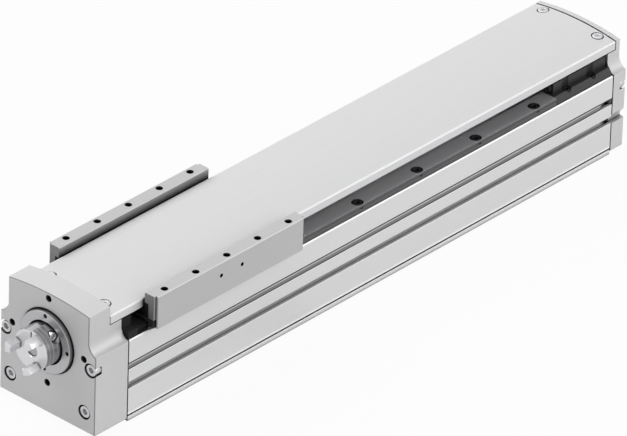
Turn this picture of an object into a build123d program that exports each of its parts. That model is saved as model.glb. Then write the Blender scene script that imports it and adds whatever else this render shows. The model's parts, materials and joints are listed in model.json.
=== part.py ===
from build123d import *
import os
from math import asin, cos, radians, sin, sqrt, tan

# Ball screw linear axis: a slide that wraps round a fixed cover and runs on two guide rails.
# Millimetres. X runs along the axis with the drive end at -X, Z is up, and the profile's underside
# lies on Z = 0. The origin is at the bottom centre of the whole axis.
# A "station" is a distance along X, measured from the outer face of the drive cap.

# Base profile
profile_width = 125.0
profile_length = 701.0
shoulder_height = 91.0
edge_chamfer = 1.0
channel_land = 3.0
channel_depth = 31.0
channel_corner = 3.0
chamber_width = 36.0
chamber_bottom = 17.0
chamber_roof = 7.0
chamber_offset = 23.0
chamber_corner = 3.0

# T-slots, side and bottom, and the narrow groove for clamping feet
slot_opening = 7.5
slot_lip = 3.0
slot_undercut = 13.0
slot_undercut_height = 4.5
slot_depth = 11.0
side_slot_height = 40.2
strip_slot_drop = 29.1
bottom_slot_offset = 25.0
foot_groove_bottom = 5.3
foot_groove_height = 1.9
foot_groove_depth = 3.0

# Strips that close the upper side slots
strip_face_height = 5.9
strip_rib_height = 1.6
strip_recess = 0.8
strip_set_back = 0.2
strip_depth = 6.5
strip_open_end = 16.5
strip_fit = 0.1

# Caps
drive_cap_length = 46.5
end_cap_length = 20.0
cap_lift = 3.5
neck_inset = 9.5
neck_foot_rise = 12.5
raised_depth = 29.0
raised_edge_rise = 41.2
raised_crown = 4.4
cap_edge_chamfer = 0.8
seam_relief = 0.8
cap_groove_depth = 5.3
cap_groove_bevel = 0.8
cap_groove_drop = 5.0
cap_groove_floor = 3.3
cap_groove_mouth = 12.0
end_rim_depth = 6.5

# Cover
cover_overhang = 0.5
cover_edge_rise = 30.8
cover_crown = 4.6
cover_skirt = 8.9
cover_wall = 3.0
cover_seat_gap = 0.15
cover_ledge_gap = 1.4
cover_near_gap = 0.3
cover_far_gap = 1.8
cover_edge_round = 1.2

# Guide rails and their running gear
rail_width = 20.0
rail_height = 8.0
rail_inset = 1.5
rail_key_width = 10.0
rail_key_depth = 5.0
rail_end_gap = 0.3
rail_chamfer = 0.6
rail_groove_radius = 1.8
rail_groove_sink = 0.7
rail_bolt_inset = 7.1
rail_bolt_start = 72.1
rail_bolt_pitch = 86.4
guide_gap = 0.4
carriage_length = 60.0
carriage_rise = 13.0
carriage_leg = 6.6
carriage_foot_gap = 2.0
scraper_thickness = 3.6
scraper_inset = 0.6

# Slide
slide_start_gap = 26.7
slide_length = 210.0
slide_overhang = 8.8
arm_gap = 3.0
arm_rise = 39.4
bridge_thickness = 8.0
skirt_wall = 1.9
skirt_foot_rise = 3.4
arm_chamfer = 0.8
arm_bolt_inset = 6.5
arm_bolt_margin = 18.3
arm_bolt_pitch = 43.5
arm_bolt_count = 5
arm_bolt_depth = 16.0
port_first = 91.5
port_pitch = 29.2
port_rise = 24.9
port_radius = 2.1
port_depth = 7.0
arm_step_width = 2.8
arm_step_length = 2.8

# Ball screw, journals and bearings
screw_drop = 7.3
screw_radius = 10.0
shaft_end_radius = 7.0
shaft_end_inset = 2.0
drive_journal_radius = 7.5
far_journal_radius = 6.0
far_journal_tail = 3.0
bearing_seat_gap = 0.5
centre_hole_radius = 1.6
centre_hole_depth = 4.0
drive_bearing_width = 11.0
drive_bearing_radius = 17.5
drive_bearing_split = 12.4
far_bearing_width = 8.0
far_bearing_radius = 14.0
far_bearing_split = 9.8
far_relief_depth = 4.0
far_relief_step = 3.0
bearing_running_gap = 0.3
lock_nut_width = 5.0
lock_nut_radius = 11.5
lock_nut_notches = 4
lock_nut_notch = (3.0, 3.5)
circlip_width = 1.0
circlip_radius = 8.2

# Ball nut and the block that carries it
nut_radius = 16.5
nut_running_gap = 0.05
nut_flange_radius = 28.0
nut_flange_half_height = 19.5
nut_flange_thickness = 10.0
nut_block_start = 81.8
nut_block_length = 46.0
nut_block_width = 50.0
nut_block_floor_gap = 2.5
nut_block_bevel = 4.0
nut_bolt_circle = 22.5
nut_bolt_angles = (0, 35, -35, 180, 145, -145)
nut_bolt_engagement = 10.0

# Drive face: raised centring ring and tapped flange holes
ring_radius = 33.2
ring_height = 4.5
ring_bore = 23.4
ring_spigot_radius = 27.0
ring_spigot_length = 14.0
ring_floor = 4.0
ring_floor_bore = 13.0
ring_chamfer = 0.8
ring_groove_width = 1.4
ring_groove_under = 0.7
ring_groove_depth = 1.8
ring_hole_circle = 29.2
ring_hole_radius = 2.3
ring_hole_depth = 14.0
flange_hole_circle = 47.1
flange_hole_radius = 3.75
flange_hole_depth = 18.0

# Coupling hub with three claws
hub_radius = 21.5
hub_face_reach = 23.5
hub_back = 8.0
claw_length = 15.0
claw_inner = 13.5
claw_inset = 0.7
claw_half_angle = 15.5
claw_first_angle = 3.0
claw_count = 3
claw_chamfer = 0.8
hub_bore_chamfer = 1.3
hub_flat_height = 19.2
hub_slit = 1.5
hub_slit_back = 3.0
hub_cross_slit = 1.2
clamp_screw_back = 15.5
clamp_screw_height = 14.2
clamp_screw_radius = 2.5
clamp_head_radius = 4.3
clamp_head_length = 5.0
clamp_pocket_radius = 5.4
clamp_pocket_floor = -9.5
clamp_screw_engagement = 8.0

# Fasteners: shank radius, head radius and head height of each size
m8 = (4.0, 6.5, 8.0)
m6 = (3.0, 5.0, 5.6)
m5 = (2.5, 4.2, 4.6)
thread_gap = 0.1
head_gap = 0.6
tip_gap = 1.0
upper_cap_bolt_inset = 6.5
upper_cap_bolt_drop = 16.4
lower_cap_bolt_inset = 13.5
lower_cap_bolt_height = 24.9
cap_counterbore_radius = 7.8
cap_counterbore_depth = 8.8
cap_bolt_engagement = 20.0
rail_counterbore_radius = 6.3
rail_counterbore_depth = 6.0
rail_bolt_length = 20.0
cover_bolt_inset = 17.5
cover_bolt_drive_inset = 10.5
cover_bolt_far_inset = 15.8
cover_recess_radius = 6.4
cover_recess_depth = 1.8
cover_bolt_head_radius = 5.4
cover_bolt_head_height = 2.4
cover_bolt_length = 14.0
cover_hole_run_on = 7.0
carriage_bolt_rows = (-14.0, 0.0)
carriage_bolt_spread = 20.0
carriage_bolt_engagement = 3.6
carriage_tip_gap = 0.3
nut_block_bolt_spread = (8.0, 19.0)
nut_block_bolt_engagement = 12.0

# End stops
stop_length = 83.5
stop_wall_width = 11.0
stop_wall_rise = 11.0
stop_bolt_insets = (61.5, 24.5)
stop_counterbore_radius = 4.9
stop_counterbore_depth = 5.2
stop_bolt_length = 16.0
stop_bevel_width = 4.0
stop_bevel_height = 6.0
buffer_length = 4.0
buffer_radius = 4.0
cap_buffer_length = 13.0

# Worked-out widths, each from the middle of the axis
profile_half = profile_width / 2
rail_outer = profile_half - rail_inset
rail_inner = rail_outer - rail_width
rail_middle = rail_outer - rail_width / 2
rail_bolt_offset = rail_outer - rail_bolt_inset
channel_half = rail_inner - channel_land
neck_half_width = profile_half - neck_inset
cover_half_width = neck_half_width + cover_overhang
cover_bolt_offset = cover_half_width - cover_bolt_inset
slide_half_width = profile_half + slide_overhang
arm_inner = cover_half_width + arm_gap
arm_bolt_offset = slide_half_width - arm_bolt_inset
carriage_outer = slide_half_width - skirt_wall - guide_gap
carriage_inner = rail_inner - guide_gap - carriage_leg
stop_wall_outer = rail_inner + stop_wall_width
claw_outer = hub_radius - claw_inset
inner_ring_radius = drive_bearing_split - bearing_running_gap

# Worked-out heights
channel_floor = shoulder_height - channel_depth
chamber_height = channel_floor - chamber_roof - chamber_bottom
strip_slot_height = shoulder_height - strip_slot_drop
screw_height = shoulder_height - screw_drop
cap_groove_low = side_slot_height - cap_groove_drop
neck_foot_height = shoulder_height + neck_foot_rise
raised_edge_height = shoulder_height + raised_edge_rise
cover_edge_height = shoulder_height + cover_edge_rise
cover_skirt_foot = cover_edge_height - cover_skirt
rail_top = shoulder_height + rail_height
stop_wall_top = rail_top + stop_wall_rise
carriage_top = shoulder_height + carriage_rise
bridge_top = carriage_top + bridge_thickness
arm_top = shoulder_height + arm_rise
skirt_foot = shoulder_height + skirt_foot_rise
port_height = shoulder_height + port_rise

# Worked-out stations
body_length = drive_cap_length + profile_length + end_cap_length
hub_reach = hub_face_reach + claw_length
drive_face_x = hub_reach - (body_length + hub_reach) / 2
profile_start = drive_cap_length
profile_end = drive_cap_length + profile_length
rail_start = profile_start + cap_buffer_length + rail_end_gap
stop_station = profile_end - stop_length
rail_end = stop_station - rail_end_gap
cover_start = raised_depth + cover_near_gap
cover_end = body_length - end_rim_depth - cover_far_gap
cover_bolt_drive_station = raised_depth + cover_bolt_drive_inset
slide_station = profile_start + slide_start_gap
slide_end = slide_station + slide_length
nut_block_station = slide_station + nut_block_start
clamp_screw_station = clamp_screw_back - hub_face_reach
far_bearing_start = profile_end + bearing_seat_gap


def x_at(station):
    """X of a station measured from the drive cap's outer face."""
    return drive_face_x + station


def along_x(section, start, end):
    """A section drawn with Y across and Z up, carried from one station to another."""
    return extrude(Plane.YZ.offset(x_at(start)) * section, amount=end - start)


def rod_x(radius, start, end, y=0.0, z=screw_height):
    """A round bar along X."""
    return along_x(Pos(y, z) * Circle(radius), start, end)


def rod_z(radius, station, y, bottom, top):
    """A round upright bar."""
    return Pos(x_at(station), y, (bottom + top) / 2) * Cylinder(radius, top - bottom)


def rod_y(radius, station, z, low, high):
    """A round bar along Y."""
    return Pos(x_at(station), (low + high) / 2, z) * Rot(90, 0, 0) * Cylinder(radius, high - low)


def tube_x(outer, inner, start, end, y=0.0, z=screw_height):
    return rod_x(outer, start, end, y, z) - rod_x(inner, start - 1, end + 1, y, z)


def outline(points):
    """A closed face through points given as Y and Z."""
    return make_face(Polyline(*points, close=True))


def box_section(low_y, high_y, low_z, high_z):
    middle = Pos((low_y + high_y) / 2, (low_z + high_z) / 2)
    return middle * Rectangle(high_y - low_y, high_z - low_z)


def mirrored(shape):
    """The same shape on the other side of the axis."""
    return mirror(shape, about=Plane.XZ)


def both_sides(shape):
    return shape + mirrored(shape)


def crowned(half_width, foot, edge, rise):
    """A section with upright sides and a low crowned top."""
    sides = Polyline((half_width, edge), (half_width, foot), (-half_width, foot), (-half_width, edge))
    top = ThreePointArc((-half_width, edge), (0, edge + rise), (half_width, edge))
    return make_face(sides + top)


def t_slot():
    """Half outline of a T-slot, opening along +X of its own plane, mirrored to a whole."""
    mouth = slot_opening / 2
    wide = slot_undercut / 2
    taper = slot_lip + slot_undercut_height
    points = (
        (1, mouth),
        (-slot_lip, mouth),
        (-slot_lip, wide),
        (-taper, wide),
        (-slot_depth, mouth),
        (-slot_depth, -mouth),
        (-taper, -wide),
        (-slot_lip, -wide),
        (-slot_lip, -mouth),
        (1, -mouth),
    )
    return outline(points)


def profile_section():
    half = profile_half
    section = box_section(-half, half, 0, shoulder_height)
    top_corners = section.vertices().sort_by(Axis.Y)[-2:]
    section = chamfer(top_corners, edge_chamfer)
    channel_top = shoulder_height + channel_corner
    channel_middle = Pos(0, (channel_floor + channel_top + channel_corner) / 2)
    channel_tall = channel_top + channel_corner - channel_floor
    section -= channel_middle * RectangleRounded(2 * channel_half, channel_tall, channel_corner)
    for side in (-1, 1):
        turn = 0 if side > 0 else 180
        section -= Pos(side * half, side_slot_height) * Rot(0, 0, turn) * t_slot()
        section -= Pos(side * half, strip_slot_height) * Rot(0, 0, turn) * t_slot()
        section -= Pos(side * bottom_slot_offset, 0) * Rot(0, 0, -90) * t_slot()
        groove_edge = side * (half - foot_groove_depth / 2)
        groove_middle = foot_groove_bottom + foot_groove_height / 2
        groove = Rectangle(foot_groove_depth + 0.01, foot_groove_height)
        section -= Pos(groove_edge, groove_middle) * groove
        chamber_middle = chamber_bottom + chamber_height / 2
        chamber = RectangleRounded(chamber_width, chamber_height, chamber_corner)
        section -= Pos(side * chamber_offset, chamber_middle) * chamber
        key = Rectangle(rail_key_width, 2 * rail_key_depth)
        section -= Pos(side * rail_middle, shoulder_height) * key
    for y, z in cap_bolt_sites():
        section -= Pos(y, z) * Circle(m8[0] + thread_gap)
    return section


def rail_bolt_stations():
    first = profile_start + rail_bolt_start
    count = int((rail_end - rail_counterbore_radius - first) // rail_bolt_pitch) + 1
    return [first + rail_bolt_pitch * n for n in range(count)]


def stop_bolt_stations():
    return [profile_end - inset for inset in stop_bolt_insets]


def tapped_sites():
    """Stations of the tapped holes under each rail and end stop, with radius and depth."""
    rail_foot = rail_top - rail_counterbore_depth - rail_bolt_length - tip_gap
    stop_foot = rail_top - stop_counterbore_depth - stop_bolt_length - tip_gap
    sites = [(station, m6[0] + thread_gap, rail_foot) for station in rail_bolt_stations()]
    return sites + [(station, m5[0] + thread_gap, stop_foot) for station in stop_bolt_stations()]


def base_profile():
    body = along_x(profile_section(), profile_start, profile_end)
    for station, radius, foot in tapped_sites():
        for y in (-rail_bolt_offset, rail_bolt_offset):
            body -= rod_z(radius, station, y, foot, shoulder_height + 1)
    return body


def s_curve_radius():
    across = profile_half - neck_half_width
    down = neck_foot_height - shoulder_height
    return (across ** 2 + down ** 2) / (2 * across)


def shoulder_arc(side):
    """The hollow curve from the neck down to the shoulder, one side."""
    radius = s_curve_radius()
    sweep = asin((neck_foot_height - shoulder_height) / radius)
    middle_y = neck_half_width + radius - radius * cos(sweep / 2)
    middle_z = neck_foot_height - radius * sin(sweep / 2)
    neck = (side * neck_half_width, neck_foot_height)
    middle = (side * middle_y, middle_z)
    shoulder = (side * profile_half, shoulder_height)
    return ThreePointArc(neck, middle, shoulder)


def cap_section(edge, rise):
    """Outline of a cap: straight foot, hollow shoulders, upright neck and crowned top."""
    half = profile_half
    foot = Polyline((-half, shoulder_height), (-half, cap_lift), (half, cap_lift), (half, shoulder_height))
    neck_left = Line((-neck_half_width, neck_foot_height), (-neck_half_width, edge))
    neck_right = Line((neck_half_width, neck_foot_height), (neck_half_width, edge))
    left_top = (-neck_half_width, edge)
    right_top = (neck_half_width, edge)
    top = ThreePointArc(left_top, (0, edge + rise), right_top)
    return make_face(foot + shoulder_arc(-1) + shoulder_arc(1) + neck_left + neck_right + top)


def cover_seat_section():
    """The part of a cap that lies under the cover."""
    ledge = cover_skirt_foot - cover_ledge_gap
    half = cover_half_width - cover_wall - cover_seat_gap
    edge = cover_edge_height - cover_wall - cover_seat_gap
    lower = cap_section(cover_edge_height, 0.01) & box_section(-profile_width, profile_width, 0, ledge)
    return lower + crowned(half, ledge - 1, edge, cover_crown)


def seam_strips(start, end):
    """What is cut from a cap's sides where it meets the profile, for a shadow line."""
    half = profile_half
    strip = box_section(half - seam_relief, half + seam_relief, 0, shoulder_height)
    return both_sides(along_x(strip, start, end))


def cap_bolt_sites():
    upper_y = profile_half - upper_cap_bolt_inset
    lower_y = profile_half - lower_cap_bolt_inset
    upper_z = shoulder_height - upper_cap_bolt_drop
    sites = ((upper_y, upper_z), (lower_y, lower_cap_bolt_height))
    return [(side * y, z) for y, z in sites for side in (-1, 1)]


def drive_cap():
    raised = along_x(cap_section(raised_edge_height, raised_crown), 0, raised_depth)
    face_edges = raised.faces().sort_by(Axis.X)[0].edges()
    raised = chamfer(face_edges, cap_edge_chamfer)
    body = raised + along_x(cover_seat_section(), raised_depth, drive_cap_length)
    body -= seam_strips(drive_cap_length - seam_relief, drive_cap_length)
    bearing_start = ring_spigot_length
    bearing_stop = bearing_start + 2 * drive_bearing_width
    groove_outer = ring_radius + ring_groove_width
    groove_inner = ring_radius - ring_groove_under
    body -= tube_x(groove_outer, groove_inner, 0, ring_groove_depth)
    body -= rod_x(ring_spigot_radius + strip_fit, -1, bearing_start)
    body -= rod_x(drive_bearing_radius + strip_fit, bearing_start - 1, bearing_stop)
    body -= rod_x(ring_floor_bore, bearing_stop - 1, drive_cap_length + 1)
    for y, z in cap_bolt_sites():
        body -= rod_x(cap_counterbore_radius, -1, cap_counterbore_depth, y, z)
        body -= rod_x(m8[0] + thread_gap, 0, drive_cap_length + 1, y, z)
    for turn in range(4):
        y = cos(radians(90 * turn))
        z = sin(radians(90 * turn))
        flange_y = flange_hole_circle * y
        flange_z = screw_height + flange_hole_circle * z
        body -= rod_x(flange_hole_radius, -1, flange_hole_depth, flange_y, flange_z)
        ring_y = ring_hole_circle * y
        ring_z = screw_height + ring_hole_circle * z
        body -= rod_x(ring_hole_radius, -1, ring_hole_depth, ring_y, ring_z)
    for y in (-cover_bolt_offset, cover_bolt_offset):
        top = cover_edge_height + cover_crown
        foot = top - cover_bolt_length - cover_hole_run_on
        body -= rod_z(m6[0] + thread_gap, cover_bolt_drive_station, y, foot, top)
    return body


def end_cap():
    inner = body_length - end_cap_length
    rim = body_length - end_rim_depth
    seat = along_x(cover_seat_section(), inner, rim)
    rim_section = cap_section(cover_edge_height, cover_crown)
    outer = along_x(rim_section, rim, body_length)
    outer = chamfer(outer.faces().sort_by(Axis.X)[-1].edges(), cap_edge_chamfer)
    body = seat + outer - seam_strips(inner, inner + seam_relief)
    half = profile_half
    groove_top = cap_groove_low + cap_groove_mouth
    groove = outline((
        (half + 0.5, cap_groove_low),
        (half - cap_groove_depth, cap_groove_low + cap_groove_bevel),
        (half - cap_groove_depth, cap_groove_low + cap_groove_bevel + cap_groove_floor),
        (half + 0.5, groove_top),
    ))
    body -= both_sides(along_x(groove, inner - 1, body_length + 1))
    bearing_stop = far_bearing_start + far_bearing_width
    body -= rod_x(far_bearing_radius + strip_fit, inner - 1, bearing_stop)
    body -= rod_x(far_bearing_radius - far_relief_step, inner, bearing_stop + far_relief_depth)
    for y, z in cap_bolt_sites():
        body -= rod_x(cap_counterbore_radius, body_length - cap_counterbore_depth, body_length + 1, y, z)
        body -= rod_x(m8[0] + thread_gap, inner - 1, body_length, y, z)
    for y in (-cover_bolt_offset, cover_bolt_offset):
        top = cover_edge_height + cover_crown
        station = body_length - cover_bolt_far_inset
        body -= rod_z(m6[0] + thread_gap, station, y, top - cover_bolt_length - cover_hole_run_on, top)
    return body


def socket_screw(size, length):
    """Shank down -Z from the origin, head up +Z."""
    shank = Pos(0, 0, -length / 2) * Cylinder(size[0], length)
    head = Pos(0, 0, size[2] / 2) * Cylinder(size[1], size[2])
    return shank + head


def group(solids):
    return Compound(children=list(solids))


def cap_screws(face_station, direction, cap_length):
    """Four screws; direction is +1 when their heads look along -X."""
    length = cap_length - cap_counterbore_depth + cap_bolt_engagement
    seat = face_station + direction * cap_counterbore_depth
    screws = []
    for y, z in cap_bolt_sites():
        tilt = Rot(0, -90 * direction, 0)
        screws.append(Pos(x_at(seat), y, z) * tilt * socket_screw(m8, length))
    return group(screws)


def cover_top_at(y):
    """Height of the cover's top surface, from its crown arc."""
    radius = (cover_half_width ** 2 + cover_crown ** 2) / (2 * cover_crown)
    centre = cover_edge_height + cover_crown - radius
    return centre + sqrt(radius ** 2 - y ** 2)


def cover_bolt_sites():
    stations = (cover_bolt_drive_station, body_length - cover_bolt_far_inset)
    return [(s, y) for s in stations for y in (-cover_bolt_offset, cover_bolt_offset)]


def top_cover():
    outer = crowned(cover_half_width, cover_skirt_foot, cover_edge_height, cover_crown)
    outer_corners = outer.vertices().group_by(Axis.Y)[-1]
    outer = fillet(outer_corners, cover_edge_round)
    inner_half = cover_half_width - cover_wall
    inner_edge = cover_edge_height - cover_wall
    section = outer - crowned(inner_half, cover_skirt_foot - 5, inner_edge, cover_crown)
    body = along_x(section, cover_start, cover_end)
    for station, y in cover_bolt_sites():
        top = cover_top_at(cover_bolt_offset)
        floor = top - cover_recess_depth
        body -= rod_z(cover_recess_radius, station, y, floor, top + 5)
        body -= rod_z(m6[0] + thread_gap, station, y, floor - 5, floor + 1)
    return body


def cover_screws():
    size = (m6[0], cover_bolt_head_radius, cover_bolt_head_height)
    seat = cover_top_at(cover_bolt_offset) - cover_recess_depth
    screw = socket_screw(size, cover_bolt_length)
    return group(Pos(x_at(station), y, seat) * screw for station, y in cover_bolt_sites())


def rail_blank():
    """Section of a rail with its key, +Y side, before its tracks are cut."""
    head = box_section(rail_inner, rail_outer, shoulder_height, rail_top)
    head = chamfer(head.vertices().group_by(Axis.Y)[-1], rail_chamfer)
    key_half = rail_key_width / 2 - strip_fit
    key_foot = shoulder_height - rail_key_depth + strip_fit
    return head + box_section(rail_middle - key_half, rail_middle + key_half, key_foot, shoulder_height + 1)


def guide_rail():
    """The rail on the +Y side."""
    section = rail_blank()
    track_height = shoulder_height + rail_height / 2
    for edge in (rail_inner - rail_groove_sink, rail_outer + rail_groove_sink):
        section -= Pos(edge, track_height) * Circle(rail_groove_radius)
    body = along_x(section, rail_start, rail_end)
    seat = rail_top - rail_counterbore_depth
    for station in rail_bolt_stations():
        body -= rod_z(rail_counterbore_radius, station, rail_bolt_offset, seat, rail_top + 1)
        body -= rod_z(m6[0] + thread_gap, station, rail_bolt_offset, 0, rail_top)
    return body


def rail_screws():
    seat = rail_top - rail_counterbore_depth
    screw = socket_screw(m6, rail_bolt_length)
    return group(Pos(x_at(s), rail_bolt_offset, seat) * screw for s in rail_bolt_stations())


def slot_strip():
    """The strip in the upper slot on the +Y side."""
    half = profile_half
    low = strip_slot_height - slot_opening / 2 + strip_fit
    rib = low + strip_face_height - strip_rib_height
    top = low + strip_face_height
    face = half - strip_set_back
    section = outline((
        (face - strip_recess, low),
        (face - strip_recess, rib),
        (face, rib),
        (face, top),
        (half - strip_depth, top),
        (half - strip_depth, low),
    ))
    return along_x(section, profile_start, profile_end - strip_open_end)


def slide_body():
    arm = outline((
        (-0.01, carriage_top),
        (slide_half_width - skirt_wall, carriage_top),
        (slide_half_width - skirt_wall, skirt_foot),
        (slide_half_width, skirt_foot),
        (slide_half_width, arm_top - arm_chamfer),
        (slide_half_width - arm_chamfer, arm_top),
        (arm_inner + arm_chamfer, arm_top),
        (arm_inner, arm_top - arm_chamfer),
        (arm_inner, bridge_top),
        (-0.01, bridge_top),
    ))
    section = arm + mirror(arm, about=Plane.YZ)
    body = along_x(section, slide_station, slide_end)
    for n in range(arm_bolt_count):
        station = slide_station + arm_bolt_margin + arm_bolt_pitch * n
        hole = rod_z(flange_hole_radius, station, arm_bolt_offset, arm_top - arm_bolt_depth, arm_top + 1)
        body -= both_sides(hole)
    step = box_section(slide_half_width - arm_step_width, slide_half_width + 1, 0, arm_top + 1)
    for start in (slide_station - 1, slide_end - arm_step_length):
        body -= both_sides(along_x(step, start, start + arm_step_length + 1))
    for n in range(2):
        station = slide_station + port_first + port_pitch * n
        port = rod_y(port_radius, station, port_height, slide_half_width - port_depth, slide_half_width + 1)
        body -= both_sides(port)
    head_floor = bridge_top - m5[2] - head_gap
    for station, y in carriage_bolt_sites() + nut_block_bolt_sites():
        body -= rod_z(m5[1] + head_gap, station, y, head_floor, bridge_top + 1)
        body -= rod_z(m5[0] + thread_gap, station, y, carriage_top - 1, head_floor + 1)
    return body


def carriage_starts():
    return (slide_station + scraper_thickness, slide_end - scraper_thickness - carriage_length)


def carriage_section(inset):
    """C-shaped section that straddles the +Y rail; inset draws its outside in a little."""
    cavity_low = rail_inner - guide_gap
    cavity_high = rail_outer + guide_gap
    cavity_top = rail_top + guide_gap
    low = shoulder_height + carriage_foot_gap + inset
    outer_foot = skirt_foot + inset
    return outline((
        (carriage_inner + inset, carriage_top),
        (carriage_inner + inset, low),
        (cavity_low, low),
        (cavity_low, cavity_top),
        (cavity_high, cavity_top),
        (cavity_high, outer_foot),
        (carriage_outer - inset, outer_foot),
        (carriage_outer - inset, carriage_top),
    ))


def guide_carriage(start):
    section = carriage_section(0)
    track_height = shoulder_height + rail_height / 2
    bead = rail_groove_radius - guide_gap
    for edge in (rail_inner - rail_groove_sink, rail_outer + rail_groove_sink):
        section += Pos(edge, track_height) * Circle(bead)
    body = along_x(section, start, start + carriage_length)
    hole_floor = carriage_top - carriage_bolt_engagement - carriage_tip_gap
    for station, y in carriage_bolt_sites():
        if y > 0 and start < station < start + carriage_length:
            body -= rod_z(m5[0] + thread_gap, station, y, hole_floor, carriage_top + 1)
    return body


def carriage_scrapers():
    """Two wiper plates at the outer ends of the carriages, +Y side."""
    section = carriage_section(scraper_inset)
    front = along_x(section, slide_station, slide_station + scraper_thickness)
    back = along_x(section, slide_end - scraper_thickness, slide_end)
    return group((front, back))


def carriage_bolt_sites():
    sites = []
    for start in carriage_starts():
        middle = start + carriage_length / 2
        for along in (-carriage_bolt_spread, carriage_bolt_spread):
            for row in carriage_bolt_rows:
                sites.append((middle + along, rail_middle + row))
                sites.append((middle + along, -rail_middle - row))
    return sites


def carriage_screws():
    head_floor = bridge_top - m5[2] - head_gap
    length = head_floor - carriage_top + carriage_bolt_engagement
    screw = socket_screw(m5, length)
    return group(Pos(x_at(s), y, head_floor) * screw for s, y in carriage_bolt_sites())


def nut_block_bolt_sites():
    middle = nut_block_station + nut_block_length / 2
    along, across = nut_block_bolt_spread
    return [(middle + a * along, b * across) for a in (-1, 1) for b in (-1, 1)]


def nut_bolt_sites():
    return [(nut_bolt_circle * cos(radians(a)), nut_bolt_circle * sin(radians(a))) for a in nut_bolt_angles]


def nut_block():
    half = nut_block_width / 2
    section = box_section(-half, half, channel_floor + nut_block_floor_gap, carriage_top)
    lower_corners = section.vertices().group_by(Axis.Y)[0]
    section = chamfer(lower_corners, nut_block_bevel)
    section -= Pos(0, screw_height) * Circle(nut_radius + strip_fit)
    body = along_x(section, nut_block_station, nut_block_station + nut_block_length)
    for station, y in nut_block_bolt_sites():
        foot = carriage_top - nut_block_bolt_engagement - tip_gap
        body -= rod_z(m5[0] + thread_gap, station, y, foot, carriage_top + 1)
    block_end = nut_block_station + nut_block_length
    for y, z in nut_bolt_sites():
        foot = block_end - nut_bolt_engagement - tip_gap
        body -= rod_x(m5[0] + thread_gap, foot, block_end + 1, y, screw_height + z)
    return body


def ball_nut():
    block_end = nut_block_station + nut_block_length
    flange_section = Circle(nut_flange_radius) & Rectangle(2 * nut_flange_radius, 2 * nut_flange_half_height)
    flange = along_x(Pos(0, screw_height) * flange_section, block_end, block_end + nut_flange_thickness)
    body = rod_x(nut_radius, nut_block_station, block_end + nut_flange_thickness) + flange
    body -= rod_x(screw_radius + nut_running_gap, 0, body_length)
    for y, z in nut_bolt_sites():
        face = block_end + nut_flange_thickness
        body -= rod_x(m5[0] + thread_gap, block_end - 1, face + 1, y, screw_height + z)
        body -= rod_x(m5[1] + thread_gap, face - m5[2], face + 1, y, screw_height + z)
    return body


def nut_screws():
    block_end = nut_block_station + nut_block_length
    seat = block_end + nut_flange_thickness - m5[2]
    length = nut_flange_thickness - m5[2] + nut_bolt_engagement
    screw = Rot(0, 90, 0) * socket_screw(m5, length)
    return group(Pos(x_at(seat), y, screw_height + z) * screw for y, z in nut_bolt_sites())


def nut_block_screws():
    head_floor = bridge_top - m5[2] - head_gap
    length = head_floor - carriage_top + nut_block_bolt_engagement
    screw = socket_screw(m5, length)
    return group(Pos(x_at(s), y, head_floor) * screw for s, y in nut_block_bolt_sites())


def drive_bearing_end():
    return ring_spigot_length + 2 * drive_bearing_width


def ball_screw():
    """The spindle with its stepped journals; its ball groove is left plain."""
    tip = shaft_end_inset - hub_face_reach
    step = hub_back + 1
    shoulder = drive_bearing_end()
    body = rod_x(shaft_end_radius, tip, step)
    body += rod_x(drive_journal_radius, step, shoulder)
    journal_end = far_bearing_start + far_bearing_width + far_journal_tail
    body += rod_x(screw_radius, shoulder, far_bearing_start)
    body += rod_x(far_journal_radius, far_bearing_start, journal_end)
    body -= rod_x(centre_hole_radius, tip - 1, tip + centre_hole_depth)
    return body


def drive_bearing_rings(outer, inner):
    """The two rings of one kind in the fixed bearing pair."""
    starts = (ring_spigot_length, ring_spigot_length + drive_bearing_width)
    return group(tube_x(outer, inner, start, start + drive_bearing_width) for start in starts)


def far_bearing_inner():
    inner = far_bearing_split - bearing_running_gap
    return tube_x(inner, far_journal_radius, far_bearing_start, far_bearing_start + far_bearing_width)


def far_bearing_outer():
    end = far_bearing_start + far_bearing_width
    return tube_x(far_bearing_radius, far_bearing_split, far_bearing_start, end)


def lock_nut():
    start = ring_spigot_length - lock_nut_width
    body = tube_x(lock_nut_radius, drive_journal_radius, start, ring_spigot_length)
    for n in range(lock_nut_notches):
        notch = Pos(lock_nut_radius, 0) * Rectangle(*lock_nut_notch)
        section = Pos(0, screw_height) * Rot(0, 0, 45 + 360 / lock_nut_notches * n) * notch
        body -= along_x(section, start - 1, ring_spigot_length + 1)
    return body


def circlip():
    start = far_bearing_start + far_bearing_width
    return tube_x(circlip_radius, far_journal_radius, start, start + circlip_width)


def bearing_cover():
    flange = rod_x(ring_radius, -ring_height, 0)
    flange = chamfer(flange.faces().sort_by(Axis.X)[0].edges(), ring_chamfer)
    body = flange + rod_x(ring_spigot_radius, 0, ring_spigot_length)
    body -= rod_x(ring_bore, -ring_height - 1, ring_spigot_length - ring_floor)
    body -= rod_x(ring_floor_bore, -1, ring_spigot_length + 1)
    for turn in range(4):
        y = ring_hole_circle * cos(radians(90 * turn))
        z = screw_height + ring_hole_circle * sin(radians(90 * turn))
        body -= rod_x(ring_hole_radius, -ring_height - 1, 1, y, z)
    return body


def claw_section():
    """One claw, as a sector of a ring."""
    ring = Circle(claw_outer) - Circle(claw_inner)
    far = 2 * claw_outer
    spread = far * tan(radians(claw_half_angle))
    wedge = make_face(Polyline((0, 0), (far, -spread), (far, spread), close=True))
    return ring & wedge


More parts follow.
